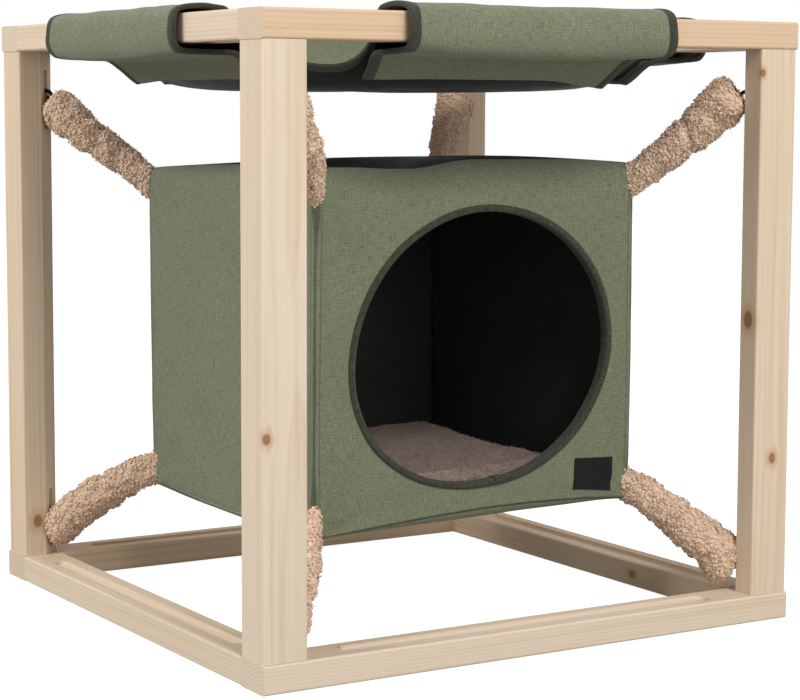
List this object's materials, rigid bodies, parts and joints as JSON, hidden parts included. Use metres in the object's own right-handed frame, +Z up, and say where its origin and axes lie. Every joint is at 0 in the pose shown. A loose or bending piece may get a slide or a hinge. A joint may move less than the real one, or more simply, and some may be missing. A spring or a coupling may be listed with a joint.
{
  "type": "cat condo",
  "caption": "Open timber cube with a padded fabric cat den hung inside it by plush arms and a sheet hammock wrapped round the top rails.",
  "frame": {"origin": "on the floor, under the middle of the frame", "axes": "+Z up, -Y towards the front with the round door, +X to the right of someone who faces the front"},
  "size_m": [0.6234, 0.6234, 0.6098],
  "materials": {
    "pine": "plain sanded pine",
    "beech": "plain beech",
    "steel": "plated steel",
    "black_steel": "black steel",
    "olive_cloth": "flecked woven polyester",
    "black_cloth": "black lining cloth",
    "trim_cloth": "folded binding tape",
    "label_cloth": "bare woven label",
    "plush": "deep sherpa plush",
    "mat_plush": "short plush"
  },
  "bodies": {
    "frame": {"bottom_rail_front": "pine", "bottom_rail_back": "pine", "bottom_rail_left": "pine", "bottom_rail_right": "pine", "top_rail_front": "pine", "top_rail_back": "pine", "top_rail_left": "pine", "top_rail_right": "pine", "post_front_left": "pine", "post_front_right": "pine", "post_back_left": "pine", "post_back_right": "pine", "corner_screws": "steel", "rail_dowels": "beech", "screw_eyes": "black_steel", "snap_hooks": "black_steel", "hammock_bed": "olive_cloth", "hammock_lining": "black_cloth", "hammock_binding": "trim_cloth", "hammock_fasteners": "black_cloth", "hammock_flap_front": "olive_cloth", "hammock_flap_back": "olive_cloth", "hammock_flap_left": "olive_cloth", "hammock_flap_right": "olive_cloth"},
    "den": {"den_front": "olive_cloth", "den_back": "olive_cloth", "den_left": "olive_cloth", "den_right": "olive_cloth", "den_roof": "black_cloth", "den_floor": "olive_cloth", "lining_front": "black_cloth", "lining_back": "black_cloth", "lining_left": "black_cloth", "lining_right": "black_cloth", "lining_roof": "black_cloth", "lining_floor": "black_cloth", "door_binding": "trim_cloth", "label_patch": "label_cloth", "arm_top_front_left": "plush", "arm_top_front_right": "plush", "arm_top_back_left": "plush", "arm_top_back_right": "plush", "arm_low_front_left": "plush", "arm_low_front_right": "plush", "arm_low_back_left": "plush", "arm_low_back_right": "plush", "straps_top": "black_cloth", "straps_low": "black_cloth"},
    "mat": {"den_mat": "mat_plush"}
  },
  "joints": [
    {"name": "den_bounce", "type": "slide", "parent": "frame", "child": "den", "axis": [0, 0, 1], "range_m": [-0.03, 0.015], "stiffness_N_per_m": 1800, "springref_m": 0.01416, "deforming": ["arm_top_front_left", "arm_top_front_right", "arm_top_back_left", "arm_top_back_right", "straps_top", "arm_low_front_left", "arm_low_front_right", "arm_low_back_left", "arm_low_back_right", "straps_low"]},
    {"name": "mat_lift", "type": "slide", "parent": "den", "child": "mat", "axis": [0, 0, 1], "range_m": [0, 0.06]}
  ]
}
